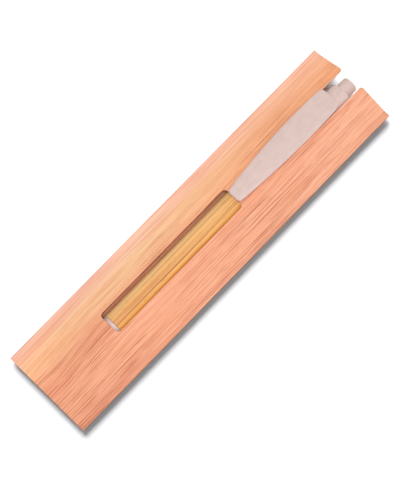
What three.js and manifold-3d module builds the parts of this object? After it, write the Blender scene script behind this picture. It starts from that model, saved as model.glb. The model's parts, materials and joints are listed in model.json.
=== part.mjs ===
// A push-button ball pen with a bamboo barrel, in its flat presentation sleeve of wood veneer.
// Millimetres, +Z up. The origin is the middle of the sleeve's footprint, on the surface it lies on.
// +X runs along the pen from its writing tip to its push button, and the sleeve opens at +X.
// Left is +Y and right is -Y, as seen by someone looking along +X.

import * as THREE from "three";
import { mergeVertices } from "three/addons/utils/BufferGeometryUtils.js";
import Module from "manifold-3d";

const wasm = await Module();
wasm.setup();

const { clamp, degToRad, lerp, smoothstep } = THREE.MathUtils;

// ---------------------------------------------------------------- driving dimensions

// Sleeve: two veneer sheets, glued along both long sides and across the closed end
const SLEEVE_LENGTH = 170;
const SLEEVE_WIDTH = 40;
const SHEET = 0.6;
const GLUE_LINE = 0.2;
const SIDE_SEAM = 2;
const END_SEAM = 6;
const SEAM_HEIGHT = 1.9; // of the glued edges, above the surface that the sleeve's back lies on
const BACK_FLAT_WIDTH = 16;
const BULGE_START = 6; // from the closed end to where the sheets start to part around the pen
const BULGE_FULL = 32; // from the closed end to where they are fully parted
const CREST_HALF_WIDTH = 2;
const SLOPE_EASING = 0.3; // 0 for straight slopes on either side of the pen, 1 for S-shaped ones
const HORN_DROOP = 1.8; // the front sheet sinks this far beside the thumb notch

// Openings in the sleeve
const OPENING_WIDTH = 10;
const OPENING_CORNER = 1.6;
const WINDOW_FROM_CLOSED_END = 35.2;
const WINDOW_LENGTH = 68.3;
const NOTCH_DEPTH = 30.5;
const BACK_NOTCH_WIDTH = 16; // the back sheet's notch is wider, for a finger under the pen
const HORN_CORNER = 1.2;

// Pen, measured along its axis from the tip of the nose cone
const PEN_TIP_FROM_CLOSED_END = 24;
const PEN_ASIDE = 0.6; // the pen lies this far to the right of the sleeve's middle
const PEN_RADIUS = 4.9;
const BORE_RADIUS = 3.8;
const NOSE_LENGTH = 12.8;
const BARREL_LENGTH = 112.8;
const COLLAR_LENGTH = 14;
const BUTTON_STANDS_OUT = 5.3;
const BUTTON_RADIUS = 3.3;
const CLIP_START = 79;
const CLIP_LENGTH = 54.3;
const CLIP_THICKNESS = 1.4;
const CLIP_WIDTH = { freeEnd: 6.2, widest: 10.8, wideEnd: 9.8 };
const CLIP_WIDEST_AT = 40; // from its free end
const CLIP_BOW = 0.8; // it arches this far above a straight line between its ends

// Mechanism
const BUTTON_TRAVEL = 4.8;
const REFILL_RECESS = 0.9; // the ball sits this far inside the nose cone when retracted
const REFILL_END = 107;
const BALL_RADIUS = 0.5;
const TUBE_RADIUS = 1.5;
const TUBE_BORE = 1.15;
const CAM_POSITIONS = 8; // half of them have ribs, and the fins rest in the others
const FIN_WIDTH = 12; // of each rib and fin, in degrees

// Fits
const SNUG = 0.05; // gap between two faces that rest on each other or are pressed together
const FREE = 0.1; // gap between two faces that slide or turn past each other
const SLEEVE_ROOM = 0.3; // between the top of the barrel and the front sheet

// ---------------------------------------------------------------- derived places

const closedEnd = -SLEEVE_LENGTH / 2;
const openEnd = SLEEVE_LENGTH / 2;
const sleeveSide = SLEEVE_WIDTH / 2;
const seamInside = sleeveSide - SIDE_SEAM;
const notchStart = openEnd - NOTCH_DEPTH;
const penAxis = SHEET + FREE + PEN_RADIUS;
const crest = penAxis + PEN_RADIUS + SLEEVE_ROOM; // the front sheet's underside, over the pen
const collarStart = NOSE_LENGTH + BARREL_LENGTH;
const collarEnd = collarStart + COLLAR_LENGTH;

// ---------------------------------------------------------------- materials

const finish = (color, roughness, metalness = 0) =>
  new THREE.MeshStandardMaterial({ color, roughness, metalness });

const veneer = finish(0xe7a680, 0.55);
const adhesive = finish(0xe9dfc8, 0.6);
const bamboo = finish(0xdca95c, 0.5);
const strawPlastic = finish(0xdcc5bf, 0.5);
const mechanismPlastic = finish(0xf1eee6, 0.4);
const refillPlastic = finish(0xe8ecee, 0.3);
const ink = finish(0x16255c, 0.3);
const brass = finish(0xc9a45a, 0.3, 1);
const steel = finish(0xb9bcc0, 0.3, 1);

// ---------------------------------------------------------------- shape helpers

/** A closed three.js geometry as a solid that can be joined and cut. */
function solid(geometry) {
  const bare = geometry.clone();
  bare.deleteAttribute("normal");
  bare.deleteAttribute("uv");
  const merged = mergeVertices(bare, 1e-4);
  return new wasm.Manifold(
    new wasm.Mesh({
      numProp: 3,
      vertProperties: new Float32Array(merged.attributes.position.array),
      triVerts: new Uint32Array(merged.index.array),
    }),
  );
}

/** One geometry made of several that touch or overlap, less others that are cut away. */
function combine(joined, cutAway = []) {
  const whole = joined.map(solid).reduce((all, next) => all.add(next));
  const mesh = cutAway.map(solid).reduce((left, next) => left.subtract(next), whole).getMesh();
  const geometry = new THREE.BufferGeometry();
  geometry.setAttribute("position", new THREE.BufferAttribute(mesh.vertProperties, 3));
  geometry.setIndex(new THREE.BufferAttribute(mesh.triVerts, 1));
  geometry.computeVertexNormals();
  return geometry;
}

function part(name, geometry, material) {
  const mesh = new THREE.Mesh(geometry, material);
  mesh.name = name;
  return mesh;
}

function assembly(...children) {
  const group = new THREE.Group();
  group.add(...children);
  return group;
}

/** A piece turned about the X axis. Each profile point is [distance along the axis, radius]. */
function turned(profile, segments = 24) {
  const points = profile.map(([along, radius]) => new THREE.Vector2(radius, along));
  return new THREE.LatheGeometry(points, segments).rotateZ(-Math.PI / 2);
}

/** A turned piece with a hole right through it. Both profiles run in the +X direction. */
function turnedTube(outer, inner, segments) {
  return turned([...outer, ...inner.toReversed(), outer[0]], segments);
}

/** A plain tube or ring. */
function tube([start, end], outer, inner) {
  const line = (radius) => [
    [start, radius],
    [end, radius],
  ];
  return turnedTube(line(outer), line(inner));
}

/** An outline in X and Y, extruded from one height to another. */
function prism(shape, [bottom, top], curveSegments = 5) {
  const options = { depth: top - bottom, bevelEnabled: false, curveSegments };
  return new THREE.ExtrudeGeometry(shape, options).translate(0, 0, bottom);
}

function block([x0, x1], width, [z0, z1]) {
  const box = new THREE.BoxGeometry(x1 - x0, width, z1 - z0);
  return box.translate((x0 + x1) / 2, 0, (z0 + z1) / 2);
}

// ---------------------------------------------------------------- sleeve

/** How far the two sheets have parted around the pen, from 0 at the closed end to 1. */
const bulge = (x) => smoothstep(x, closedEnd + BULGE_START, closedEnd + BULGE_FULL);

/** Height of the back sheet's underside: down flat under the pen, and up at the seams. */
function backHeight(x, y) {
  const across = 1 - smoothstep(Math.abs(y), BACK_FLAT_WIDTH / 2, seamInside);
  return SEAM_HEIGHT * (1 - bulge(x) * across);
}

/** Height of the front sheet's underside: flat on the seams and arched over the pen. */
function frontHeight(x, y) {
  const seam = SEAM_HEIGHT + SHEET + GLUE_LINE;
  const ridge = crest - HORN_DROOP * smoothstep(x, notchStart, openEnd);
  const run = seamInside - CREST_HALF_WIDTH;
  const down = clamp((Math.abs(y) - CREST_HALF_WIDTH) / run, 0, 1);
  const across = 1 - lerp(down, smoothstep(down, 0, 1), SLOPE_EASING);
  return seam + (ridge - seam) * bulge(x) * across;
}

/** A strip between two lengths and two sides, bent so that its underside is at a given height. */
function bentStrip([x0, x1], [y0, y1], thickness, height, [alongCount, acrossCount]) {
  const strip = new THREE.BoxGeometry(x1 - x0, y1 - y0, 1, alongCount, acrossCount, 1);
  strip.translate((x0 + x1) / 2, (y0 + y1) / 2, 0);
  const position = strip.attributes.position;
  for (let i = 0; i < position.count; i++) {
    const isTop = position.getZ(i) > 0;
    const underside = height(position.getX(i), position.getY(i));
    position.setZ(i, underside + (isTop ? thickness : 0));
  }
  return strip;
}

/** The see-through window, with round corners. */
function windowShape() {
  const r = OPENING_CORNER;
  const side = OPENING_WIDTH / 2 - r;
  const left = closedEnd + WINDOW_FROM_CLOSED_END + r;
  const right = closedEnd + WINDOW_FROM_CLOSED_END + WINDOW_LENGTH - r;
  const shape = new THREE.Shape();
  shape.absarc(right, side, r, 0, Math.PI / 2);
  shape.absarc(left, side, r, Math.PI / 2, Math.PI);
  shape.absarc(left, -side, r, Math.PI, 1.5 * Math.PI);
  shape.absarc(right, -side, r, 1.5 * Math.PI, 2 * Math.PI);
  return shape;
}

/** The thumb notch: round corners at its bottom, and rounded horns on either side of its mouth. */
function notchShape(width) {
  const r = OPENING_CORNER;
  const side = width / 2;
  const hornX = openEnd - HORN_CORNER;
  const hornY = side + HORN_CORNER;
  const beyond = openEnd + 1;
  const shape = new THREE.Shape();
  shape.moveTo(beyond, hornY);
  shape.absarc(hornX, hornY, HORN_CORNER, 0, -Math.PI / 2, true);
  shape.absarc(notchStart + r, side - r, r, Math.PI / 2, Math.PI);
  shape.absarc(notchStart + r, r - side, r, Math.PI, 1.5 * Math.PI);
  shape.absarc(hornX, -hornY, HORN_CORNER, Math.PI / 2, 0, true);
  shape.lineTo(beyond, -hornY);
  return shape;
}

function sleeve() {
  const length = [closedEnd, openEnd];
  const width = [-sleeveSide, sleeveSide];
  const cutHeights = [-1, crest + 2];
  const window = prism(windowShape(), cutHeights);
  const frontNotch = prism(notchShape(OPENING_WIDTH), cutHeights);
  const backNotch = prism(notchShape(BACK_NOTCH_WIDTH), cutHeights);
  const frontSheet = bentStrip(length, width, SHEET, frontHeight, [34, 16]);
  const backSheet = bentStrip(length, width, SHEET, backHeight, [34, 16]);

  const edge = 0.2; // the glue stops this far short of the sheets' edges
  const glue = (name, along, across) => {
    const height = () => SEAM_HEIGHT + SHEET + SNUG;
    const strip = bentStrip(along, across, GLUE_LINE - 2 * SNUG, height, [1, 1]);
    return part(name, strip, adhesive);
  };
  const glueLength = [closedEnd + edge, openEnd - edge];
  const glueInside = seamInside + edge;
  const glueOutside = sleeveSide - edge;
  const endStrip = [closedEnd + edge, closedEnd + END_SEAM];

  return assembly(
    part("sleeve_front", combine([frontSheet], [window, frontNotch]), veneer),
    part("sleeve_back", combine([backSheet], [backNotch]), veneer),
    glue("glue_strip_left", glueLength, [glueInside, glueOutside]),
    glue("glue_strip_right", glueLength, [-glueOutside, -glueInside]),
    glue("glue_strip_end", endStrip, [-seamInside, seamInside]),
  );
}

// ---------------------------------------------------------------- writing end of the pen

const threadRadius = 2.95;
const threadEnd = NOSE_LENGTH + 8.5;
const springRoom = 2.45; // radius of the nose cone's inside, around the spring
const springStart = 6;
const springEnd = 25.9;

/** The cone, with a screw spigot behind it and a ledge inside it that the spring stands on. */
function noseCone() {
  const mouth = 1.8;
  const tipBore = 1.3;
  const start = new THREE.Vector2(0.3, mouth);
  const shoulder = new THREE.Vector2(8, PEN_RADIUS - 0.2);
  const end = new THREE.Vector2(NOSE_LENGTH - SNUG, PEN_RADIUS);
  const side = new THREE.QuadraticBezierCurve(start, shoulder, end).getPoints(8);
  const outer = [
    [0, mouth - 0.3],
    ...side.map((point) => [point.x, point.y]),
    [NOSE_LENGTH - SNUG, threadRadius],
    [threadEnd, threadRadius],
  ];
  const inner = [
    [0, tipBore],
    [springStart - SNUG, tipBore],
    [springStart - SNUG, springRoom],
    [threadEnd, springRoom],
  ];
  return turnedTube(outer, inner);
}

function bambooBarrel() {
  const ease = 0.25;
  const start = NOSE_LENGTH;
  const end = collarStart - SNUG;
  const outer = [
    [start, PEN_RADIUS - ease],
    [start + ease, PEN_RADIUS],
    [end - ease, PEN_RADIUS],
    [end, PEN_RADIUS - ease],
  ];
  const inner = [
    [start, BORE_RADIUS],
    [end, BORE_RADIUS],
  ];
  return turnedTube(outer, inner);
}

/** The bush that is pressed into the barrel for the nose cone to screw into. */
function noseBush() {
  const length = [NOSE_LENGTH + SNUG, threadEnd + 0.5];
  return tube(length, BORE_RADIUS - FREE, threadRadius + FREE);
}

function returnSpring() {
  const wire = 0.22;
  const coilRadius = TUBE_RADIUS + 0.45;
  const turns = 9;
  const stepsPerTurn = 14;
  const wireSides = 6;
  class Helix extends THREE.Curve {
    getPoint(t, target = new THREE.Vector3()) {
      const angle = t * turns * 2 * Math.PI;
      const along = springStart + wire + t * (springEnd - springStart - 2 * wire);
      return target.set(along, coilRadius * Math.cos(angle), coilRadius * Math.sin(angle));
    }
  }
  const section = new THREE.Shape().absarc(0, 0, wire, 0, 2 * Math.PI);
  return new THREE.ExtrudeGeometry(section, {
    extrudePath: new Helix(),
    steps: turns * stepsPerTurn,
    curveSegments: wireSides,
    bevelEnabled: false,
  });
}

// ---------------------------------------------------------------- click mechanism

const finInner = 2.3; // the ribs reach in to here
const wallInner = 3; // and stand on the cam sleeve's wall here
const coreRadius = finInner - 0.15; // of the rotor and the plunger, inside the ribs
const finOuter = wallInner - 0.15; // of their fins, inside the wall
const crownBore = 1.3;
const crownDepth = 0.8;
const rotorFins = [107, 113];
const rotorEnd = 114;
const ribs = [109.8, 118];
const plungerStart = rotorEnd + 0.25;
const plungerFins = [115.2, 121];
const camSleeveEnd = collarStart + 3.9;
const collarLip = collarEnd - 3; // from here to its end, the collar closes in on the button
const buttonFlange = [camSleeveEnd + BUTTON_TRAVEL + FREE, collarLip - FREE];

/** Four ribs or fins, equally spaced round the axis, between two radii. */
function fins([start, end], inner, outer, firstAngle) {
  const half = degToRad(FIN_WIDTH) / 2;
  const pitch = (4 * Math.PI) / CAM_POSITIONS;
  return Array.from({ length: CAM_POSITIONS / 2 }, (_, i) => {
    const middle = firstAngle + i * pitch;
    const shape = new THREE.Shape();
    shape.absarc(0, 0, outer, middle - half, middle + half);
    shape.absarc(0, 0, inner, middle + half, middle - half, true);
    return prism(shape, [start, end], 2).rotateY(Math.PI / 2);
  });
}

/** Wedges that cut crown teeth into a ring's end face. Their points are at the teeth's roots. */
function crownCuts(root, face) {
  const halfWidth = 0.75;
  const cut = new THREE.Shape();
  cut.moveTo(root, 0);
  cut.lineTo(face, -halfWidth);
  cut.lineTo(face, halfWidth);
  const wedge = prism(cut, [0, finOuter + 1]);
  return Array.from({ length: CAM_POSITIONS }, (_, i) =>
    wedge.clone().rotateX(((i + 0.5) * 2 * Math.PI) / CAM_POSITIONS),
  );
}

/** The tube that joins the barrel to the collar, with the ribs that hold the rotor's fins. */
function camSleeve() {
  const wall = tube([103, camSleeveEnd], BORE_RADIUS - FREE, wallInner);
  const between = (2 * Math.PI) / CAM_POSITIONS;
  return combine([wall, ...fins(ribs, finInner, wallInner + 0.3, between)]);
}

/** The rotor: a socket for the refill in front, fins round its middle, and a crown behind. */
function rotor() {
  const socket = TUBE_RADIUS + FREE;
  const core = turned([
    [REFILL_END + FREE, 0],
    [REFILL_END + FREE, socket],
    [REFILL_END - 3.5, socket],
    [REFILL_END - 3.5, coreRadius],
    [rotorEnd, coreRadius],
    [rotorEnd, crownBore],
    [rotorEnd - 2, crownBore],
    [rotorEnd - 2, 0],
  ]);
  const teeth = crownCuts(rotorEnd - crownDepth, rotorEnd + 0.2);
  return combine([core, ...fins(rotorFins, coreRadius - 0.3, finOuter, 0)], teeth);
}

/** The plunger: its crown faces the rotor's, and its rear end is pressed into the button. */
function plunger() {
  const core = tube([plungerStart, collarEnd + 1.9], coreRadius, crownBore);
  const teeth = crownCuts(plungerStart + crownDepth, plungerStart - 0.2);
  return combine([core, ...fins(plungerFins, coreRadius - 0.3, finOuter, 0)], teeth);
}

/** The button: a cap with a rounded rim, and a flange inside the collar that keeps it in. */
function pushButton() {
  const end = collarEnd + BUTTON_STANDS_OUT;
  const rim = 0.9;
  const bore = coreRadius + SNUG;
  const flangeRadius = 3.65;
  const round = Array.from({ length: 5 }, (_, i) => {
    const angle = (i / 4) * (Math.PI / 2);
    return [end - rim + rim * Math.sin(angle), BUTTON_RADIUS - rim + rim * Math.cos(angle)];
  });
  return turned([
    [collarEnd + 2, 0],
    [collarEnd + 2, bore],
    [buttonFlange[0], bore],
    [buttonFlange[0], flangeRadius],
    [buttonFlange[1], flangeRadius],
    [buttonFlange[1], BUTTON_RADIUS],
    ...round,
    [end, 0],
  ]);
}

// ---------------------------------------------------------------- collar and clip

// The clip stands on a bridge whose tongue sits in a pocket in the collar's wall
const bridge = { start: 127.9, end: 132.3, width: 5, bottom: PEN_RADIUS + SNUG };
const tongue = { start: 128.5, end: 131.7, width: 2.4, bottom: PEN_RADIUS - 0.85 };
const clipTop = { tip: 8.1, end: 9.7 }; // heights of the clip's outer face above the pen's axis

function clipCollar() {
  const ease = 0.8;
  const bore = BORE_RADIUS - SNUG;
  const lipBore = BUTTON_RADIUS + FREE;
  const outer = [
    [collarStart, PEN_RADIUS],
    [collarEnd - ease, PEN_RADIUS],
    [collarEnd, PEN_RADIUS - ease],
  ];
  const inner = [
    [collarStart, bore],
    [collarLip, bore],
    [collarLip, lipBore],
    [collarEnd, lipBore],
  ];
  const room = 0.3;
  const pocket = block(
    [tongue.start - room, tongue.end + room],
    tongue.width + 2 * room,
    [tongue.bottom - room / 2, PEN_RADIUS + 1],
  );
  return combine([turnedTube(outer, inner)], [pocket]);
}

/** Half the clip's width at a distance from its free end. It narrows both ways from its widest place. */
function clipHalfWidth(along) {
  const isBehind = along > CLIP_WIDEST_AT;
  const reach = isBehind ? CLIP_LENGTH - CLIP_WIDEST_AT : CLIP_WIDEST_AT;
  const share = (along - CLIP_WIDEST_AT) / reach;
  const endWidth = isBehind ? CLIP_WIDTH.wideEnd : CLIP_WIDTH.freeEnd;
  return lerp(CLIP_WIDTH.widest, endWidth, share ** 2) / 2;
}

/** Height of the clip's outer face above the pen's axis. */
function clipHeight(along) {
  const share = along / CLIP_LENGTH;
  return lerp(clipTop.tip, clipTop.end, share) + CLIP_BOW * 4 * share * (1 - share);
}

/** The clip's outline, with its free end at 0 and rounded corners at both ends. */
function clipShape() {
  const freeCorner = 1.8;
  const wideCorner = 2.4;
  const steps = 16;
  const left = [new THREE.Vector2(0, 0)];
  const roundCorner = (end, corner, inwards) => {
    const onSide = new THREE.Vector2(end + inwards * corner, clipHalfWidth(end + inwards * corner));
    const tip = new THREE.Vector2(end, clipHalfWidth(end));
    const onEnd = new THREE.Vector2(end, clipHalfWidth(end) - corner);
    return new THREE.QuadraticBezierCurve(onEnd, tip, onSide).getPoints(4);
  };
  left.push(...roundCorner(0, freeCorner, 1));
  for (let i = 1; i < steps; i++) {
    const along = lerp(freeCorner, CLIP_LENGTH - wideCorner, i / steps);
    left.push(new THREE.Vector2(along, clipHalfWidth(along)));
  }
  left.push(...roundCorner(CLIP_LENGTH, wideCorner, -1).toReversed());
  left.push(new THREE.Vector2(CLIP_LENGTH, 0));
  const right = left.slice(1, -1).toReversed();
  return new THREE.Shape([...left, ...right.map(({ x, y }) => new THREE.Vector2(x, -y))]);
}

/** A springy blade along the pen, on a bridge near its wide end. */
function clip() {
  const bevel = 0.3;
  const blade = new THREE.ExtrudeGeometry(clipShape(), {
    depth: CLIP_THICKNESS - 2 * bevel,
    bevelThickness: bevel,
    bevelSize: bevel,
    bevelOffset: -bevel,
    bevelSegments: 1,
  });
  blade.translate(0, 0, bevel - CLIP_THICKNESS);
  const position = blade.attributes.position;
  for (let i = 0; i < position.count; i++) {
    position.setZ(i, position.getZ(i) + clipHeight(position.getX(i)));
  }
  blade.translate(CLIP_START, 0, 0);
  const inBlade = clipTop.end - CLIP_THICKNESS + 0.4;
  return combine([
    blade,
    block([bridge.start, bridge.end], bridge.width, [bridge.bottom, inBlade]),
    block([tongue.start, tongue.end], tongue.width, [tongue.bottom, bridge.bottom + 1]),
  ]);
}

// ---------------------------------------------------------------- refill

const ballAt = REFILL_RECESS + BALL_RADIUS;
const tubeStart = 12;
const tipEnd = tubeStart + 2.5;

/** The tube, with the ring that the spring pushes on. */
function refillTube() {
  const ring = { start: springEnd + SNUG, end: springEnd + 0.9, radius: 2.2 };
  const outer = [
    [tubeStart, TUBE_RADIUS],
    [ring.start, TUBE_RADIUS],
    [ring.start, ring.radius],
    [ring.end, ring.radius],
    [ring.end, TUBE_RADIUS],
    [REFILL_END, TUBE_RADIUS],
  ];
  const inner = [
    [tubeStart, TUBE_BORE],
    [REFILL_END, TUBE_BORE],
  ];
  return turnedTube(outer, inner);
}

/** The writing tip: a cup for the ball, a cone, and a stem pressed into the tube. */
function refillTip() {
  const cup = BALL_RADIUS + SNUG;
  const cupStart = ballAt - 0.15;
  const cupEnd = ballAt + BALL_RADIUS + SNUG;
  const stem = 1.15;
  const feed = 0.3;
  const outer = [
    [cupStart, cup + 0.08],
    [cupStart + 2.6, stem],
    [tubeStart - FREE, stem],
    [tubeStart - FREE, TUBE_BORE - SNUG],
    [tipEnd, TUBE_BORE - SNUG],
  ];
  const inner = [
    [cupStart, cup],
    [cupEnd, cup],
    [cupEnd, feed],
    [tipEnd, feed],
  ];
  return turnedTube(outer, inner);
}

function inkColumn() {
  const full = 85; // the ink reaches this far up the tube
  return turned([
    [tipEnd + SNUG, 0],
    [tipEnd + SNUG, TUBE_BORE - SNUG],
    [full, TUBE_BORE - SNUG],
    [full, 0],
  ]);
}

function writingBall() {
  return new THREE.SphereGeometry(BALL_RADIUS, 12, 8).translate(ballAt, 0, 0);
}

// ---------------------------------------------------------------- pen

function pen() {
  const group = assembly(
    part("bamboo_barrel", bambooBarrel(), bamboo),
    part("nose_bush", noseBush(), mechanismPlastic),
    part("nose_cone", noseCone(), strawPlastic),
    part("clip_collar", clipCollar(), strawPlastic),
    part("cam_sleeve", camSleeve(), mechanismPlastic),
    part("return_spring", returnSpring(), steel),
    part("clip", clip(), strawPlastic),
    part("push_button", pushButton(), strawPlastic),
    part("plunger", plunger(), mechanismPlastic),
    part("rotor", rotor(), mechanismPlastic),
    part("refill_tube", refillTube(), refillPlastic),
    part("ink_column", inkColumn(), ink),
    part("refill_tip", refillTip(), brass),
    part("writing_ball", writingBall(), steel),
  );
  group.position.set(closedEnd + PEN_TIP_FROM_CLOSED_END, -PEN_ASIDE, penAxis);
  return group;
}

export default assembly(sleeve(), pen());
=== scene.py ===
import json
import math

import bmesh
import bpy
import numpy as np
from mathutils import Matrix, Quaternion, Vector, geometry, noise


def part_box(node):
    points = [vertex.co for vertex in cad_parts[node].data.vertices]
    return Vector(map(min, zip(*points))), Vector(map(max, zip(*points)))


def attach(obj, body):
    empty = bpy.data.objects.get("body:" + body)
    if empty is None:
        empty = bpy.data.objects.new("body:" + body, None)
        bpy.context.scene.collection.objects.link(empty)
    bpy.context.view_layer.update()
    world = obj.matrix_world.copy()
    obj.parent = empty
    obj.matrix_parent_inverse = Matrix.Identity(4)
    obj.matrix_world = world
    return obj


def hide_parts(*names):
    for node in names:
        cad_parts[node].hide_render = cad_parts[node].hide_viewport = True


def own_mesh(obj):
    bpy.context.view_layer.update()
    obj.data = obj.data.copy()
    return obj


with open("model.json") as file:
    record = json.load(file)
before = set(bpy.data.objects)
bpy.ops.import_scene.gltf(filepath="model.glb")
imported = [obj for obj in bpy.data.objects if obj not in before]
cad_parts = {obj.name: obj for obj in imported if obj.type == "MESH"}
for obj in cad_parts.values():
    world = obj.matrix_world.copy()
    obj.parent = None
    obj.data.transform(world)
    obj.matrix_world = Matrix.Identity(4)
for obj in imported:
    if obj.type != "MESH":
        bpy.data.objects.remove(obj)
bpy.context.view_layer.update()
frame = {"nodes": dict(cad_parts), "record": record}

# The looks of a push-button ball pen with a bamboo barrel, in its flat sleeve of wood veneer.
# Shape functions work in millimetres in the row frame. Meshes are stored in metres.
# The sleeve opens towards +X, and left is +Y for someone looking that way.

MM = 0.001

# ---------------------------------------------------------------- places taken from the frame


def box_mm(node):
    """Lowest and highest corner of a CAD node, in millimetres."""
    low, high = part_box(node)
    return low / MM, high / MM


sleeve_low, sleeve_high = box_mm("sleeve_front")
barrel_low, barrel_high = box_mm("bamboo_barrel")
nose_low, nose_high = box_mm("nose_cone")
collar_low, collar_high = box_mm("clip_collar")
button_low, button_high = box_mm("push_button")
clip_low, clip_high = box_mm("clip")

closed_end = sleeve_low.x
open_end = sleeve_high.x
sleeve_side = sleeve_high.y
pen_tip = nose_low.x
pen_side = (barrel_low.y + barrel_high.y) / 2
pen_axis = (barrel_low.z + barrel_high.z) / 2
pen_radius = (barrel_high.z - barrel_low.z) / 2

# ---------------------------------------------------------------- sizes that the frame doesn't give

SHEET = 0.6
GLUE_LINE = 0.2
SEAM_WIDTH = 2
SEAM_HEIGHT = 1.9  # of the glued edges, above the floor
BACK_FLAT_WIDTH = 16
BULGE_START = 6
BULGE_FULL = 32
CREST_HALF_WIDTH = 2
SLOPE_EASING = 0.3
HORN_DROOP = 1.8
OPENING_WIDTH = 10
OPENING_CORNER = 1.6
WINDOW_FROM_CLOSED_END = 35.2
WINDOW_LENGTH = 68.3
NOTCH_DEPTH = 30.5
BACK_NOTCH_WIDTH = 16
HORN_CORNER = 1.2
SHEET_CORNER = 0.3
SHEET_EDGE = 0.1  # radius along the sheets' cut edges

# Places along the pen are distances from its tip
BARREL_BORE = 3.8
THREAD_RADIUS = 2.95
SPRING_ROOM = 2.45  # radius inside the nose cone, around the spring
TIP_BORE = 1.3
NOSE_MOUTH = 1.8
NOSE_SHOULDER_AT = 8
SPRING_LEDGE_AT = 5.95
BUTTON_RADIUS = 3.3
BUTTON_FLANGE_RADIUS = 3.65
BUTTON_BORE = 2.2
COLLAR_LIP = 3  # length of the collar's end that closes in on the button
REFILL_RADIUS = 1.5
REFILL_BORE = 1.15
REFILL_RING_RADIUS = 2.2
REFILL_RING = (25.95, 26.8)
TIP_STEM_END = 11.9
WIRE_RADIUS = 0.22
SPRING_TURNS = 9

BRIDGE = (127.9, 132.3)
BRIDGE_HALF_WIDTH = 2.5
TONGUE = (128.5, 131.7)
TONGUE_HALF_WIDTH = 1.2
TONGUE_ROOM = 0.3
TONGUE_DEPTH = 0.85
CLIP_THICKNESS = 1.4
CLIP_CROWN = 0.25  # its edges are this much lower than its middle
CLIP_TIP_CORNER = 1.6
CLIP_END_CORNER = 2
CLIP_TIP_HEIGHT = 8.1  # of its outer face above the pen's axis
CLIP_END_HEIGHT = 9.7
CLIP_BOW = 0.8  # it arches this far above a straight line between its ends
CLIP_HALF_WIDTHS = (3.1, 5.4, 4.9)  # at its free end, at its widest place and at its wide end
CLIP_WIDEST_AT = 40 / 54.3  # of its length
SNUG = 0.05
FREE = 0.1

seam_inside = sleeve_side - SEAM_WIDTH
notch_start = open_end - NOTCH_DEPTH
crest = sleeve_high.z - SHEET

# ---------------------------------------------------------------- outlines and meshes


def smoothstep(value, start, end):
    share = min(max((value - start) / (end - start), 0), 1)
    return share * share * (3 - 2 * share)


def fillet(before, corner, after, radius, steps):
    """Points of the arc that rounds one corner off. The three places are 2D vectors."""
    back = (before - corner).normalized()
    on = (after - corner).normalized()
    angle = back.angle(on)
    if radius == 0 or angle > math.pi - 0.01:
        return [corner]
    reach = radius / math.tan(angle / 2)
    centre = corner + (back + on).normalized() * radius / math.sin(angle / 2)
    start = corner + back * reach - centre
    end = corner + on * reach - centre
    turn = math.pi - angle
    points = []
    for step in range(steps + 1):
        share = step / steps
        first = math.sin((1 - share) * turn) / math.sin(turn)
        second = math.sin(share * turn) / math.sin(turn)
        points.append(centre + first * start + second * end)
    return points


def rounded(corners, closed=True, steps=5):
    """An outline with rounded corners. Each corner is (x, y, radius)."""
    places = [Vector(corner[:2]) for corner in corners]
    points = []
    for index, (_, _, radius) in enumerate(corners):
        if not closed and index in (0, len(corners) - 1):
            points.append(places[index])
            continue
        before = places[index - 1]
        after = places[(index + 1) % len(places)]
        points += fillet(before, places[index], after, radius, steps)
    return points


def dense(ring, spacing):
    """A closed outline with its long sides divided up."""
    points = []
    for start, end in zip(ring, ring[1:] + ring[:1]):
        count = max(1, round((end - start).length / spacing))
        points += [start.lerp(end, step / count) for step in range(count)]
    return points


def inset(ring, distance):
    """A closed outline moved to the left of its own direction."""
    moved = []
    for before, point, after in zip(ring[-1:] + ring[:-1], ring, ring[1:] + ring[:1]):
        along = (point - before).normalized() + (after - point).normalized()
        moved.append(point + Vector((-along.y, along.x)).normalized() * distance)
    return moved


def within(points, rings):
    """Which points are inside the first ring and outside the others, and how near they come."""
    inside = np.zeros(len(points), bool)
    nearest = np.full(len(points), np.inf)
    for ring in rings:
        starts = np.array(ring)
        for start, end in zip(starts, np.roll(starts, -1, axis=0)):
            side = end - start
            if start[1] != end[1]:
                between = (start[1] > points[:, 1]) != (end[1] > points[:, 1])
                crossing = start[0] + (points[:, 1] - start[1]) * side[0] / side[1]
                inside ^= between & (points[:, 0] < crossing)
            share = np.clip((points - start) @ side / (side @ side), 0, 1)
            away = points - start - share[:, None] * side
            nearest = np.minimum(nearest, np.hypot(away[:, 0], away[:, 1]))
    return inside, nearest


def grid_points(rings, spacing):
    """Grid points inside the first ring and outside the others, clear of them all."""
    corners = np.array(rings[0])
    low, high = corners.min(0), corners.max(0)
    columns = np.arange(low[0] + spacing[0] / 2, high[0], spacing[0])
    rows = np.arange(low[1] + spacing[1] / 2, high[1], spacing[1])
    grid = np.stack(np.meshgrid(columns, rows), axis=-1).reshape(-1, 2)
    inside, nearest = within(grid, rings)
    return [Vector(point) for point in grid[inside & (nearest > min(spacing) * 0.45)]]


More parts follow.
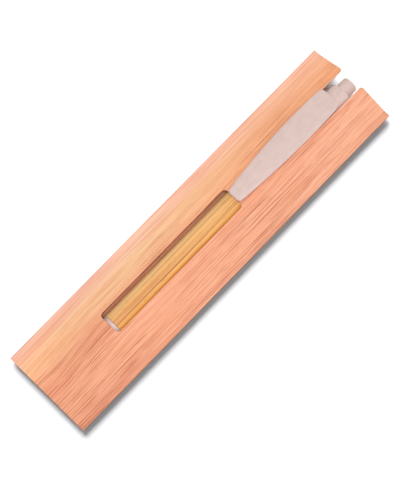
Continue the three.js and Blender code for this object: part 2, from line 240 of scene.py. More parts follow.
def slab(rings, thickness, height, edge, spacing, edge_steps=2):
    """A sheet bent so that its underside is at a given height, with its cut edges rounded.

    The first ring is the outline, anticlockwise. The others are holes, clockwise.
    """
    rings = [dense(ring, max(spacing)) for ring in rings]
    quarter = [step / edge_steps * math.pi / 2 for step in range(edge_steps + 1)]
    rim = [(edge * (1 - math.sin(a)), thickness - edge * (1 - math.cos(a))) for a in quarter]
    rim += [(edge * (1 - math.cos(a)), edge * (1 - math.sin(a))) for a in quarter]

    faces_of = [inset(ring, edge) for ring in rings]
    flat = [point for ring in faces_of for point in ring]
    links = []
    first = 0
    for ring in faces_of:
        count = len(ring)
        links += [(first + i, first + (i + 1) % count) for i in range(count)]
        first += count
    flat += grid_points(faces_of, spacing)
    places, _, triangles, origin, _, _ = geometry.delaunay_2d_cdt(flat, links, [], 1, 1e-5)
    became = {source: out for out, sources in enumerate(origin) for source in sources}
    middles = np.array([sum((places[i] for i in t), Vector((0, 0))) / 3 for t in triangles])
    kept = within(middles, faces_of)[0]
    triangles = [triangle for triangle, keep in zip(triangles, kept) if keep]

    def lifted(point, level):
        return (point.x, point.y, height(point.x, point.y) + level)

    count = len(places)
    vertices = [lifted(place, thickness) for place in places]
    vertices += [lifted(place, 0) for place in places]
    faces = [tuple(triangle) for triangle in triangles]
    faces += [tuple(count + i for i in reversed(triangle)) for triangle in triangles]
    first = 0
    for ring in rings:
        loops = [[became[first + i] for i in range(len(ring))]]
        for distance, level in rim[1:-1]:
            start = len(vertices)
            vertices += [lifted(point, level) for point in inset(ring, distance)]
            loops.append(list(range(start, len(vertices))))
        loops.append([count + i for i in loops[0]])
        faces += joined(loops)
        first += len(ring)
    return vertices, faces


def joined(loops):
    """Four-sided faces between neighbouring closed loops of the same length."""
    faces = []
    for upper, lower in zip(loops, loops[1:]):
        for i in range(len(upper)):
            following = (i + 1) % len(upper)
            faces.append((upper[i], lower[i], lower[following], upper[following]))
    return faces


def turned(profile, closed=False, steps=144):
    """A profile turned about the pen's axis. Its points are (distance from the pen's tip, radius).

    A closed profile makes a tube. An open one starts and ends on the axis.
    """
    vertices = []
    loops = []
    for along, radius in profile:
        start = len(vertices)
        count = steps if radius > 1e-6 else 1
        for step in range(count):
            angle = step / steps * 2 * math.pi
            y = pen_side + radius * math.cos(angle)
            z = pen_axis + radius * math.sin(angle)
            vertices.append((pen_tip + along, y, z))
        loops.append(list(range(start, len(vertices))))
    faces = []
    for here, after in zip(loops, loops[1:] + loops[:1] if closed else loops[1:]):
        for i in range(steps):
            following = (i + 1) % steps
            if len(here) == 1:
                faces.append((here[0], after[following], after[i]))
            elif len(after) == 1:
                faces.append((here[i], here[following], after[0]))
            else:
                faces.append((here[i], here[following], after[following], after[i]))
    return vertices, faces


def make_mesh(name, shape, sharp_angle=32):
    """A mesh object, smooth but for edges sharper than an angle in degrees."""
    vertices, faces = shape
    mesh = bpy.data.meshes.new(name)
    mesh.from_pydata([Vector(vertex) * MM for vertex in vertices], [], faces)
    whole = bmesh.new()
    whole.from_mesh(mesh)
    bmesh.ops.recalc_face_normals(whole, faces=whole.faces)
    whole.to_mesh(mesh)
    whole.free()
    smooth(mesh, sharp_angle)
    made = bpy.data.objects.new(name, mesh)
    bpy.context.scene.collection.objects.link(made)
    return made


def smooth(mesh, sharp_angle):
    for polygon in mesh.polygons:
        polygon.use_smooth = True
    mesh.set_sharp_from_angle(angle=math.radians(sharp_angle))


def combine(base, other, operation, sharp_angle=32):
    """Joins another object to this one, or cuts it away, and removes the other object."""
    modifier = base.modifiers.new("combine", "BOOLEAN")
    modifier.operation = operation
    modifier.solver = "EXACT"
    modifier.object = other
    evaluated = base.evaluated_get(bpy.context.evaluated_depsgraph_get())
    mesh = bpy.data.meshes.new_from_object(evaluated)
    base.modifiers.clear()
    base.data = mesh
    smooth(mesh, sharp_angle)
    bpy.data.objects.remove(other)


def place(made, node, material):
    """Gives a made piece its material and its CAD node's body, and hides that node."""
    made.data.materials.clear()
    made.data.materials.append(material)
    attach(made, body_of[node])
    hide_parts(node)


body_of = {
    node: body
    for body, nodes in frame["record"]["behaviour"]["bodies"].items()
    for node in nodes
}

# ---------------------------------------------------------------- materials


def tone(red, green, blue):
    """A colour given as on a screen, 0 to 255, in the linear values that nodes use."""

    def linear(value):
        value /= 255
        return value / 12.92 if value <= 0.04045 else ((value + 0.055) / 1.055) ** 2.4

    return (linear(red), linear(green), linear(blue), 1)


class Finish:
    """A material under construction. Lengths in it are millimetres on the piece itself."""

    def __init__(self, name):
        self.material = bpy.data.materials.new(name)
        self.material.use_nodes = True
        self.tree = self.material.node_tree
        self.tree.nodes.clear()
        self.coordinates = self.tree.nodes.new("ShaderNodeTexCoord")

    def node(self, kind, inputs, **settings):
        """A node's outputs. Each input is a plain value or another node's output."""
        made = self.tree.nodes.new(kind)
        for key, value in settings.items():
            setattr(made, key, value)
        for key, value in inputs.items():
            if isinstance(value, bpy.types.NodeSocket):
                self.tree.links.new(value, made.inputs[key])
            else:
                made.inputs[key].default_value = value
        return made.outputs

    def math(self, operation, first, second=0.0):
        return self.node("ShaderNodeMath", {0: first, 1: second}, operation=operation)[0]

    def position(self, stretch=(1, 1, 1)):
        """Millimetres on the piece, each direction times its own factor."""
        factors = [share / MM for share in stretch]
        inputs = {0: self.coordinates.outputs["Object"], 1: factors}
        return self.node("ShaderNodeVectorMath", inputs, operation="MULTIPLY")[0]

    def split(self, vector):
        return self.node("ShaderNodeSeparateXYZ", {0: vector})

    def join(self, x, y, z):
        return self.node("ShaderNodeCombineXYZ", {0: x, 1: y, 2: z})[0]

    def noise(self, vector, detail=2.0, roughness=0.5):
        inputs = {"Vector": vector, "Scale": 1.0, "Detail": detail, "Roughness": roughness}
        return self.node("ShaderNodeTexNoise", inputs)["Fac"]

    def between(self, value, low, high, to_low=0.0, to_high=1.0):
        """A value's place between two others, clamped, on a new scale."""
        inputs = {"Value": value, 1: low, 2: high, 3: to_low, 4: to_high}
        return self.node("ShaderNodeMapRange", inputs, clamp=True)[0]

    def ramp(self, value, stops):
        made = self.tree.nodes.new("ShaderNodeValToRGB")
        ramp = made.color_ramp
        while len(ramp.elements) < len(stops):
            ramp.elements.new(0.5)
        for element, (at, color) in zip(ramp.elements, stops):
            element.position = at
            element.color = color
        self.tree.links.new(value, made.inputs[0])
        return made.outputs[0]

    def mix(self, share, first, second):
        """A colour between two others."""
        inputs = {0: share, 6: first, 7: second}
        return self.node("ShaderNodeMix", inputs, data_type="RGBA")[2]

    def bump(self, height, depth, strength=1.0):
        inputs = {"Height": height, "Distance": depth * MM, "Strength": strength}
        return self.node("ShaderNodeBump", inputs)[0]

    def done(self, color, roughness, others):
        inputs = {"Base Color": color, "Roughness": roughness, **others}
        shader = self.node("ShaderNodeBsdfPrincipled", inputs)[0]
        self.node("ShaderNodeOutputMaterial", {0: shader})
        return self.material


def banded_color(finish, x, side, tones_at):
    """Ramps of colour across a sheet, blended from one place along it to the next."""
    ramps = []
    for _, tones in tones_at:
        ramps.append(finish.ramp(side, [(at, tone(*tones[at])) for at in sorted(tones)]))
    color = ramps[0]
    for (start, _), (end, _), ramp in zip(tones_at, tones_at[1:], ramps[1:]):
        color = finish.mix(finish.between(x, start, end), color, ramp)
    return color


def with_cut_edges(finish, color):
    """Darker plies where the surface faces sideways, which is on a sheet's cut edges."""
    facing = finish.split(finish.coordinates.outputs["Normal"])[2]
    cut = finish.between(finish.math("ABSOLUTE", facing), 0.55, 0.3)
    plies = finish.noise(finish.position((1.5, 1.5, 9)))
    cut_color = finish.ramp(plies, [(0.35, tone(150, 92, 60)), (0.65, tone(206, 146, 104))])
    return finish.mix(cut, color, cut_color)


def veneer(name, layer, tones_at):
    """Pale straight-grained wood. Each sheet has its own layer of the same figure.

    For some places along it, the tones say how its colour goes from its -Y side to its +Y side; some
    of them hold painted shade.
    """
    finish = Finish(name)
    x, y, _ = finish.split(finish.position())
    wander = finish.noise(finish.position((0.006, 0.02, 0)))
    across = finish.math("ADD", y, finish.between(wander, 0, 1, -1, 1))

    def streaks(along, over, detail, roughness=0.5):
        stretched_x = finish.math("MULTIPLY", x, along)
        stretched_y = finish.math("MULTIPLY", across, over)
        place = finish.join(stretched_x, stretched_y, layer)
        return finish.noise(place, detail=detail, roughness=roughness)

    shift = finish.between(streaks(0.01, 0.2, 2), 0.3, 0.7, -1.5, 1.5)
    side = finish.between(finish.math("ADD", across, shift), -sleeve_side, sleeve_side)
    color = banded_color(finish, x, side, tones_at)

    broad = finish.between(streaks(0.02, 0.45, 3), 0.42, 0.66, 0, 0.45)
    color = finish.mix(broad, color, tone(236, 158, 120))
    grain = streaks(0.035, 1.6, 3, 0.65)
    color = finish.mix(finish.between(grain, 0.5, 0.64, 0, 0.4), color, tone(218, 134, 98))
    color = finish.mix(finish.between(grain, 0.47, 0.34, 0, 0.45), color, tone(252, 200, 164))

    patch = finish.between(streaks(0.02, 0.3, 1), 0.4, 0.56, 0.15, 1)
    band = finish.between(across, 14, 6, 0.15, 1)  # the +Y side is nearly free of dark lines
    lines = finish.between(streaks(0.03, 3.2, 2), 0.56, 0.6)
    lines = finish.math("MULTIPLY", lines, finish.math("MULTIPLY", patch, band))
    color = finish.mix(finish.math("MULTIPLY", lines, 0.75), color, tone(170, 90, 60))
    pores = finish.between(streaks(0.1, 5, 1), 0.62, 0.66)
    pores = finish.math("MULTIPLY", pores, band)
    color = finish.mix(finish.math("MULTIPLY", pores, 0.5), color, tone(184, 104, 72))

    relief = finish.math("SUBTRACT", grain, finish.math("ADD", pores, lines))
    roughness = finish.between(grain, 0.3, 0.7, 0.45, 0.6)
    others = {"Normal": finish.bump(relief, 0.03, 0.5), "Specular IOR Level": 0.2}
    return finish.done(with_cut_edges(finish, color), roughness, others)


def bamboo():
    """Golden bamboo with long dark fibres, painted light on its +Y side where the sleeve's edge shades
    it, and a painted highlight along its -Y side.
    """
    finish = Finish("bamboo")
    wood = finish.noise(finish.position((0.02, 1.2, 1.2)), detail=3, roughness=0.6)
    fibres = finish.noise(finish.position((0.008, 4.2, 4.2)), detail=1, roughness=0.6)
    flecks = finish.noise(finish.position((0.25, 4, 4)), detail=2)
    color = finish.ramp(
        wood,
        [(0.3, tone(232, 160, 88)), (0.5, tone(242, 178, 106)), (0.7, tone(252, 198, 126))],
    )
    color = finish.mix(finish.between(fibres, 0.54, 0.6, 0, 0.8), color, tone(168, 98, 46))
    color = finish.mix(finish.between(flecks, 0.6, 0.7, 0, 0.45), color, tone(150, 84, 36))
    y = finish.split(finish.position())[1]
    # Painted light: the +Y side is mixed paler, against the shade that the window's edge casts on the
    # barrel.
    painted_light = finish.between(y, pen_side - 0.5, pen_side + 3.5, 0, 0.45)
    color = finish.mix(painted_light, color, tone(255, 222, 164))
    # Painted highlight: a saturated golden line along the barrel's -Y side.
    highlight_middle = pen_side - 3.6
    sideways = finish.math("SUBTRACT", y, highlight_middle)
    painted_highlight = finish.between(finish.math("ABSOLUTE", sideways), 0.5, 0.2, 0, 0.6)
    color = finish.mix(painted_highlight, color, tone(246, 164, 60))
    roughness = finish.between(fibres, 0.3, 0.7, 0.4, 0.55)
    others = {"Normal": finish.bump(fibres, -0.04, 0.5), "Specular IOR Level": 0.3}
    return finish.done(color, roughness, others)


def straw_plastic():
    """Matt moulding plastic with pale flecks of straw in it."""
    finish = Finish("straw_plastic")
    cloud = finish.noise(finish.position((0.25, 0.5, 0.5)), detail=3)
    flecks = finish.noise(finish.position((1.2, 3, 3)), detail=2, roughness=0.6)
    grit = finish.noise(finish.position((7, 7, 7)), detail=1)
    color = finish.ramp(cloud, [(0.35, tone(208, 183, 176)), (0.65, tone(214, 189, 182))])
    color = finish.mix(finish.between(flecks, 0.6, 0.72, 0, 0.3), color, tone(230, 212, 202))
    color = finish.mix(finish.between(flecks, 0.4, 0.28, 0, 0.25), color, tone(192, 164, 152))
    roughness = finish.between(grit, 0.3, 0.7, 0.42, 0.5)
    return finish.done(color, roughness, {"Normal": finish.bump(grit, 0.008, 0.4)})


def moulded(name, low, high, roughness):
    """Smooth plastic, with a faint flow pattern and orange peel."""
    finish = Finish(name)
    flow = finish.noise(finish.position((0.3, 1.2, 1.2)), detail=3)
    peel = finish.noise(finish.position((5, 5, 5)), detail=1)
    color = finish.ramp(flow, [(0.3, tone(*low)), (0.7, tone(*high))])
    gloss = finish.between(peel, 0.3, 0.7, roughness - 0.05, roughness + 0.05)
    return finish.done(color, gloss, {"Normal": finish.bump(peel, 0.005, 0.4)})


def metal(name, low, high, stretch, roughness):
    """Worked metal. The stretch says which way its fine marks run."""
    finish = Finish(name)
    marks = finish.noise(finish.position(stretch), detail=3, roughness=0.7)
    color = finish.ramp(marks, [(0.3, tone(*low)), (0.7, tone(*high))])
    gloss = finish.between(marks, 0.3, 0.7, roughness - 0.07, roughness + 0.07)
    others = {"Normal": finish.bump(marks, 0.004, 0.4), "Metallic": 1.0}
    return finish.done(color, gloss, others)


def dried_glue():
    finish = Finish("dried_glue")
    lumps = finish.noise(finish.position((0.8, 0.8, 0.8)), detail=4, roughness=0.6)
    color = finish.ramp(lumps, [(0.35, tone(214, 190, 150)), (0.65, tone(238, 224, 192))])
    return finish.done(color, 0.45, {"Normal": finish.bump(lumps, 0.05, 0.5)})


# The darker middle of these tones, at 0.42 to 0.52, is the wood's colour with painted shade, where the
# front sheet rises away from the closed end.
FRONT_CLOSED_TONES_AND_SHADE = {
    0.0: (212, 138, 110),
    0.07: (230, 154, 120),
    0.15: (234, 162, 126),
    0.3: (239, 168, 132),
    0.42: (234, 158, 124),
    0.52: (230, 152, 116),
    0.6: (240, 168, 130),
    0.7: (246, 180, 136),
    0.79: (250, 194, 146),
    0.9: (245, 190, 156),
    1.0: (238, 184, 166),
}
FRONT_MIDDLE_TONES = {
    0.0: (230, 158, 126),
    0.15: (239, 168, 133),
    0.4: (241, 169, 136),
    0.64: (250, 180, 134),
    0.7: (254, 200, 154),
    0.8: (254, 210, 160),
    0.9: (252, 204, 168),
    1.0: (246, 192, 174),
}
FRONT_OPEN_TONES = {
    0.0: (230, 163, 131),
    0.12: (239, 173, 140),
    0.3: (243, 177, 145),
    0.42: (233, 160, 127),
    0.6: (242, 166, 118),
    0.72: (250, 180, 132),
    0.79: (244, 172, 128),
    0.85: (250, 188, 150),
    0.92: (250, 196, 166),
    1.0: (242, 184, 168),
}
BACK_CLOSED_TONES = {
    0.0: (238, 172, 138),
    0.3: (246, 184, 146),
    0.65: (240, 170, 132),
    1.0: (244, 182, 148),
}
BACK_OPEN_TONES = {
    0.0: (244, 184, 148),
    0.5: (238, 164, 126),
    1.0: (246, 190, 156),
}
front_tones = [(-72, FRONT_CLOSED_TONES_AND_SHADE), (-25, FRONT_MIDDLE_TONES), (60, FRONT_OPEN_TONES)]
front_veneer = veneer("front_veneer", 3.0, front_tones)
back_veneer = veneer("back_veneer", 11.0, [(-70, BACK_CLOSED_TONES), (70, BACK_OPEN_TONES)])
golden_bamboo = bamboo()
straw = straw_plastic()
mechanism = moulded("mechanism_plastic", (232, 228, 218), (242, 239, 231), 0.35)
milky = moulded("refill_plastic", (222, 228, 231), (236, 240, 242), 0.25)
dark_ink = moulded("ink", (16, 26, 70), (26, 42, 104), 0.2)
brass = metal("brass", (182, 142, 78), (222, 186, 118), (9, 0.8, 0.8), 0.3)
steel = metal("steel", (176, 179, 184), (214, 216, 220), (3, 3, 3), 0.25)
glue = dried_glue()

# ---------------------------------------------------------------- sleeve


def bulge(x):
    """How far the two sheets have parted around the pen, from 0 at the closed end to 1."""
    return smoothstep(x, closed_end + BULGE_START, closed_end + BULGE_FULL)


def back_height(x, y):
    """The back sheet's underside: down flat under the pen, and up at the seams."""
    across = 1 - smoothstep(abs(y), BACK_FLAT_WIDTH / 2, seam_inside)
    return SEAM_HEIGHT * (1 - bulge(x) * across)


def front_height(x, y):
    """The front sheet's underside: flat on the seams and arched over the pen."""
    seam = SEAM_HEIGHT + SHEET + GLUE_LINE
    ridge = crest - HORN_DROOP * smoothstep(x, notch_start, open_end)
    down = min(max((abs(y) - CREST_HALF_WIDTH) / (seam_inside - CREST_HALF_WIDTH), 0), 1)
    across = 1 - down - SLOPE_EASING * (smoothstep(down, 0, 1) - down)
    ripple = 0.12 * noise.noise(Vector((x / 30, y / 9, 0.5)))
    return seam + (ridge - seam + ripple) * bulge(x) * across


def sheet_outline(notch_width):
    """A sheet with its thumb notch, anticlockwise."""
    half = notch_width / 2
    return rounded(
        [
            (closed_end, -sleeve_side, SHEET_CORNER),
            (open_end, -sleeve_side, SHEET_CORNER),
            (open_end, -half, HORN_CORNER),
            (notch_start, -half, OPENING_CORNER),
            (notch_start, half, OPENING_CORNER),
            (open_end, half, HORN_CORNER),
            (open_end, sleeve_side, SHEET_CORNER),
            (closed_end, sleeve_side, SHEET_CORNER),
        ]
    )


def window_outline():
    """The long window, clockwise."""
    half = OPENING_WIDTH / 2
    start = closed_end + WINDOW_FROM_CLOSED_END
    end = start + WINDOW_LENGTH
    corners = [(start, -half), (start, half), (end, half), (end, -half)]
    return rounded([(x, y, OPENING_CORNER) for x, y in corners])


def make_sleeve():
    outlines = [sheet_outline(OPENING_WIDTH), window_outline()]
    front = slab(outlines, SHEET, front_height, SHEET_EDGE, (1.6, 1))
    back = slab([sheet_outline(BACK_NOTCH_WIDTH)], SHEET, back_height, SHEET_EDGE, (2.5, 1.5))
    place(make_mesh("veneer_front", front, 50), "sleeve_front", front_veneer)
    place(make_mesh("veneer_back", back, 50), "sleeve_back", back_veneer)


# ---------------------------------------------------------------- pen

nose_length = barrel_low.x - pen_tip
collar_start = collar_low.x - pen_tip
collar_end = collar_high.x - pen_tip
button_end = button_high.x - pen_tip
collar_lip = collar_end - COLLAR_LIP


def make_barrel():
    ends = [(nose_length, BARREL_BORE, 0.1), (nose_length, pen_radius, 0.25)]
    ends += [(collar_start - SNUG, pen_radius, 0.25), (collar_start - SNUG, BARREL_BORE, 0.1)]
    shape = turned(rounded(ends), closed=True)
    place(make_mesh("bamboo_tube", shape), "bamboo_barrel", golden_bamboo)


def make_nose_cone():
    """A cone with a softly swelling side, its screw spigot, and the spring's ledge inside."""
    end = nose_length - SNUG
    spigot_end = nose_high.x - pen_tip
    side = []
    for step in range(1, 20):
        share = step / 20
        keep = (1 - share) ** 2
        middle = 2 * share * (1 - share)
        along = keep * 0.3 + middle * NOSE_SHOULDER_AT + share**2 * end
        radius = keep * NOSE_MOUTH + middle * (pen_radius - 0.2) + share**2 * pen_radius
        side.append((along, radius, 0))
    corners = [(0, TIP_BORE, 0.1), (0, NOSE_MOUTH, 0.25), *side]
    corners += [(end, pen_radius, 0.12), (end, THREAD_RADIUS, 0)]
    corners += [(spigot_end, THREAD_RADIUS, 0.15), (spigot_end, SPRING_ROOM, 0.1)]
    corners += [(SPRING_LEDGE_AT, SPRING_ROOM, 0), (SPRING_LEDGE_AT, TIP_BORE, 0)]
    shape = turned(rounded(corners), closed=True)
    place(make_mesh("nose_moulding", shape), "nose_cone", straw)


def make_nose_bush():
    start, end = [corner.x - pen_tip for corner in box_mm("nose_bush")]
    outer = BARREL_BORE - FREE
    inner = THREAD_RADIUS + FREE
    corners = [(start, inner), (start, outer), (end, outer), (end, inner)]
    shape = turned(rounded([(along, radius, 0.1) for along, radius in corners]), closed=True)
    place(make_mesh("threaded_bush", shape), "nose_bush", mechanism)


def make_collar():
    lip_bore = BUTTON_RADIUS + FREE
    bore = BARREL_BORE - SNUG
    corners = [(collar_start, bore, 0.1), (collar_start, pen_radius, 0.12)]
    corners += [(collar_end, pen_radius, 0.8), (collar_end, lip_bore, 0.15)]
    corners += [(collar_lip, lip_bore, 0), (collar_lip, bore, 0)]
    made = make_mesh("collar_moulding", turned(rounded(corners), closed=True))
    pocket = block_shape(
        (TONGUE[0] - TONGUE_ROOM, TONGUE[1] + TONGUE_ROOM),
        TONGUE_HALF_WIDTH + TONGUE_ROOM,
        (pen_axis + pen_radius - TONGUE_DEPTH - TONGUE_ROOM / 2, pen_axis + pen_radius + 1.1),
        0.1,
    )
    combine(made, make_mesh("pocket", pocket), "DIFFERENCE")
    place(made, "clip_collar", straw)


def block_shape(along, half_width, heights, edge):
    """A block along the pen, with every edge rounded."""
    x0, x1 = [pen_tip + distance for distance in along]
    bottom, top = heights
    y0, y1 = pen_side - half_width, pen_side + half_width
    corners = [(x0, y0), (x1, y0), (x1, y1), (x0, y1)]
    ring = rounded([(x, y, edge * 1.5) for x, y in corners])
    return slab([ring], top - bottom, lambda x, y: bottom, edge, (2, 2))


def make_button():
    """A cap with a rounded rim, and the flange that keeps it in the collar."""
    flange_start = button_low.x - pen_tip
    flange_end = collar_lip - FREE
    blind_end = collar_end + 2
    corners = [(blind_end, 0, 0), (blind_end, BUTTON_BORE, 0), (flange_start, BUTTON_BORE, 0.1)]
    corners += [(flange_start, BUTTON_FLANGE_RADIUS, 0.15), (flange_end, BUTTON_FLANGE_RADIUS, 0.15)]
    corners += [(flange_end, BUTTON_RADIUS, 0), (button_end, BUTTON_RADIUS, 0.9)]
    corners += [(button_end, 0, 0)]
    shape = turned(rounded(corners, closed=False, steps=8))
    place(make_mesh("button_cap", shape), "push_button", straw)


def clip_half_width(share):
    """Half the clip's width, from its free end (0) to its wide end (1)."""
    free_end, widest, wide_end = CLIP_HALF_WIDTHS
    if share < CLIP_WIDEST_AT:
        return widest - (widest - free_end) * (1 - share / CLIP_WIDEST_AT) ** 2
    return widest - (widest - wide_end) * ((share - CLIP_WIDEST_AT) / (1 - CLIP_WIDEST_AT)) ** 2


def clip_outline():
    """The clip in plan, anticlockwise from its free end."""
    start, end = clip_low.x, clip_high.x
    count = 40
    stations = [i / count for i in range(count + 1)]
    half = [[start + s * (end - start), clip_half_width(s), 0] for s in stations]
    half[0][2] = CLIP_TIP_CORNER
    half[-1][2] = CLIP_END_CORNER
    corners = [(x, pen_side - wide, radius) for x, wide, radius in half]
    corners += [(x, pen_side + wide, radius) for x, wide, radius in reversed(half)]
    return rounded(corners, steps=8)


def make_clip():
    """A springy blade with a gently crowned face, on a bridge whose tongue sits in the collar."""

    def underside(x, y):
        share = (x - clip_low.x) / (clip_high.x - clip_low.x)
        line = CLIP_TIP_HEIGHT + share * (CLIP_END_HEIGHT - CLIP_TIP_HEIGHT)
        bow = CLIP_BOW * 4 * share * (1 - share)
        drop = CLIP_CROWN * ((y - pen_side) / 5.5) ** 2
        return pen_axis + line + bow - drop - CLIP_THICKNESS

    blade = slab([clip_outline()], CLIP_THICKNESS, underside, 0.45, (1.2, 0.7), edge_steps=4)
    made = make_mesh("clip_blade", blade, 60)
    bridge_bottom = pen_axis + pen_radius + SNUG
    bridge_top = pen_axis + CLIP_END_HEIGHT - CLIP_THICKNESS + 0.4
    bridge = block_shape(BRIDGE, BRIDGE_HALF_WIDTH, (bridge_bottom, bridge_top), 0.2)
    tongue_heights = (pen_axis + pen_radius - TONGUE_DEPTH, bridge_bottom + 1)
    tongue = block_shape(TONGUE, TONGUE_HALF_WIDTH, tongue_heights, 0.15)
    combine(made, make_mesh("bridge", bridge), "UNION", 60)
    combine(made, make_mesh("tongue", tongue), "UNION", 60)
    place(made, "clip", straw)


# ---------------------------------------------------------------- refill and spring


def make_refill_tube():
    """The tube, with the ring that the spring pushes on."""
    start, end = [corner.x - pen_tip for corner in box_mm("refill_tube")]
    ring_start, ring_end = REFILL_RING
    corners = [(start, REFILL_BORE, 0), (start, REFILL_RADIUS, 0.1), (ring_start, REFILL_RADIUS, 0)]
    corners += [(ring_start, REFILL_RING_RADIUS, 0.1), (ring_end, REFILL_RING_RADIUS, 0.1)]
    corners += [(ring_end, REFILL_RADIUS, 0), (end, REFILL_RADIUS, 0.1), (end, REFILL_BORE, 0)]
    shape = turned(rounded(corners), closed=True, steps=72)
    place(make_mesh("refill_barrel", shape), "refill_tube", milky)


def make_writing_tip():
    """A cup for the ball, a cone, and a stem pressed into the tube."""
    start, end = [corner.x - pen_tip for corner in box_mm("refill_tip")]
    cup, lip, stem, feed = 0.55, 0.63, 1.15, 0.3
    cone_end = start + 2.6
    cup_end = start + 0.7
    pressed_in = REFILL_BORE - SNUG
    corners = [(start, cup, 0), (start, lip, 0.03), (cone_end, stem, 0.6)]
    corners += [(TIP_STEM_END, stem, 0.1), (TIP_STEM_END, pressed_in, 0), (end, pressed_in, 0.1)]
    corners += [(end, feed, 0), (cup_end, feed, 0), (cup_end, cup, 0)]
    shape = turned(rounded(corners), closed=True, steps=72)
    place(make_mesh("writing_tip", shape), "refill_tip", brass)


def make_ball():
    low, high = box_mm("writing_ball")
    centre = (low.x + high.x) / 2 - pen_tip
    radius = (high.x - low.x) / 2
    angles = [step / 24 * math.pi for step in range(25)]
    arc = [(centre - radius * math.cos(a), radius * math.sin(a)) for a in angles]
    place(make_mesh("ball", turned(arc, steps=48)), "writing_ball", steel)


def make_ink():
    start, end = [corner.x - pen_tip for corner in box_mm("ink_column")]
    radius = REFILL_BORE - SNUG
    corners = [(start, 0, 0), (start, radius, 0.2), (end, radius, 0.2), (end, 0, 0)]
    shape = turned(rounded(corners, closed=False), steps=48)
    place(make_mesh("ink_fill", shape), "ink_column", dark_ink)


def make_spring():
    """A round wire wound about the refill. It shortens as the refill comes forward."""
    low, high = box_mm("return_spring")
    wire = WIRE_RADIUS
    coil = (high.z - low.z) / 2 - wire
    steps = SPRING_TURNS * 36
    sides = 12
    vertices = []
    for step in range(steps + 1):
        share = step / steps
        angle = share * SPRING_TURNS * 2 * math.pi
        along = low.x + wire + share * (high.x - low.x - 2 * wire)
        outward = Vector((0, math.cos(angle), math.sin(angle)))
        forward = Vector((0.15, -math.sin(angle), math.cos(angle))).normalized()
        sideways = forward.cross(outward)
        centre = Vector((along, pen_side, pen_axis)) + coil * outward
        for side in range(sides):
            turn = side / sides * 2 * math.pi
            around = math.cos(turn) * outward + math.sin(turn) * sideways
            vertices.append(centre + wire * around)
    loops = [list(range(i * sides, (i + 1) * sides)) for i in range(steps + 1)]
    faces = joined(loops) + [tuple(loops[0]), tuple(reversed(loops[-1]))]
    made = make_mesh("spring_wire", (vertices, faces), 60)
    place(made, "return_spring", steel)
    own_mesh(made)


# ---------------------------------------------------------------- CAD nodes that are shown as they are


def dress(node, material, edge):
    """A shown CAD node gets its material and softened edges."""
    shown = frame["nodes"][node]
    shown.data.materials.clear()
    shown.data.materials.append(material)
    soften = shown.modifiers.new("soft_edges", "BEVEL")
    soften.width = edge * MM
    soften.segments = 2
    soften.limit_method = "ANGLE"
    soften.angle_limit = math.radians(35)


# ---------------------------------------------------------------- studio


def make_floor():
    finish = Finish("pale_floor")
    cloud = finish.noise(finish.position((0.01, 0.01, 0.01)), detail=2)
    color = finish.ramp(cloud, [(0.3, (0.24, 0.24, 0.245, 1)), (0.7, (0.25, 0.25, 0.255, 1))])
    material = finish.done(color, 0.9, {"Specular IOR Level": 0.1})
    reach = 3000
    below = -0.05
    corners = [(-reach, -reach), (reach, -reach), (reach, reach), (-reach, reach)]
    vertices = [(x, y, below) for x, y in corners]
    floor = make_mesh("floor", (vertices, [(0, 1, 2, 3)]))
    floor.data.materials.append(material)
    return floor


def make_light(name, direction, distance, size, brightness):
    """A square soft light that looks at the origin from a direction.

    Its brightness is what it would lend to a white card that faces it at the origin.
    """
    data = bpy.data.lights.new(name, "AREA")
    data.shape = "SQUARE"
    data.size = size
    data.energy = brightness * (math.pi * distance) ** 2
    light = bpy.data.objects.new(name, data)
    towards = Vector(direction).normalized()
    light.location = towards * distance
    aim(light, towards)


def make_floor_light(floor, direction, spread, brightness):
    """Even light that falls on the floor only. The spread, in degrees, softens its shadows."""
    data = bpy.data.lights.new("floor_key", "SUN")
    data.angle = math.radians(spread)
    data.energy = brightness * math.pi
    light = bpy.data.objects.new("floor_key", data)
    aim(light, Vector(direction).normalized())
    receivers = bpy.data.collections.new("floor_only")
    receivers.objects.link(floor)
    light.light_linking.receiver_collection = receivers


def aim(light, towards):
    """Turns a light back from where it stands, and puts it in the scene."""
    light.rotation_mode = "QUATERNION"
    light.rotation_quaternion = (-towards).to_track_quat("-Z", "Y")
    bpy.context.scene.collection.objects.link(light)


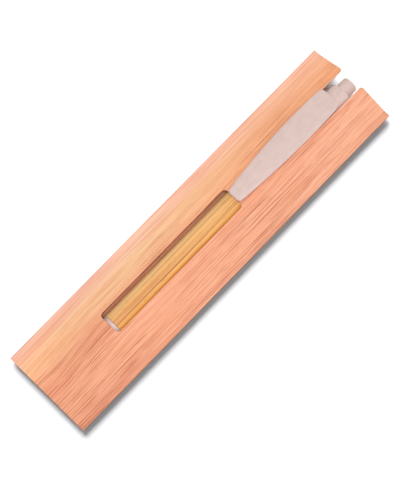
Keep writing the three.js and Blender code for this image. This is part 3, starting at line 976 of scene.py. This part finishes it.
def make_world(ambient):
    """Even white light from all round, in front of a white backdrop."""
    world = bpy.data.worlds.new("studio")
    bpy.context.scene.world = world
    world.use_nodes = True
    tree = world.node_tree
    seen = tree.nodes.new("ShaderNodeLightPath").outputs["Is Camera Ray"]
    strength = tree.nodes.new("ShaderNodeMapRange")
    tree.links.new(seen, strength.inputs["Value"])
    strength.inputs["To Min"].default_value = ambient
    strength.inputs["To Max"].default_value = 1
    background = tree.nodes["Background"]
    background.inputs["Color"].default_value = (1, 1, 1, 1)
    tree.links.new(strength.outputs[0], background.inputs["Strength"])


def make_camera(azimuth, elevation, roll, target, distance, lens):
    """Looks at a place on the floor from an azimuth and an elevation, turned by a roll."""
    turn, rise = math.radians(azimuth), math.radians(elevation)
    back = Vector(
        (
            math.sin(turn) * math.cos(rise),
            -math.cos(turn) * math.cos(rise),
            math.sin(rise),
        )
    )
    data = bpy.data.cameras.new("camera")
    data.lens = lens
    data.sensor_width = 36
    data.clip_start = 0.01
    data.clip_end = 20
    camera = bpy.data.objects.new("camera", data)
    camera.location = Vector(target) * MM + back * distance * MM
    camera.rotation_mode = "QUATERNION"
    upright = (-back).to_track_quat("-Z", "Y")
    camera.rotation_quaternion = upright @ Quaternion((0, 0, 1), math.radians(roll))
    bpy.context.scene.collection.objects.link(camera)
    bpy.context.scene.camera = camera


# ---------------------------------------------------------------- build

make_sleeve()
for strip in ("glue_strip_left", "glue_strip_right", "glue_strip_end"):
    dress(strip, glue, 0.02)
make_barrel()
make_nose_cone()
make_nose_bush()
make_collar()
make_button()
make_clip()
make_refill_tube()
make_writing_tip()
make_ball()
make_ink()
make_spring()
for moving in ("cam_sleeve", "plunger", "rotor"):
    dress(moving, mechanism, 0.06)

floor = make_floor()
make_world(0.52)
make_light("front", (-0.12, -0.2, 1), distance=1.2, size=0.3, brightness=0.56)
make_light("rim", (1, -0.25, 0.6), distance=1, size=0.25, brightness=0.12)
make_floor_light(floor, (0.55, 0.8, 0.85), spread=46, brightness=6.6)
make_camera(
    azimuth=-28.67,
    elevation=75.73,
    roll=-17.7,
    target=(-4.1, -2.82, 0),
    distance=600,
    lens=111.4,
)
bpy.context.scene.view_settings.view_transform = "Standard"
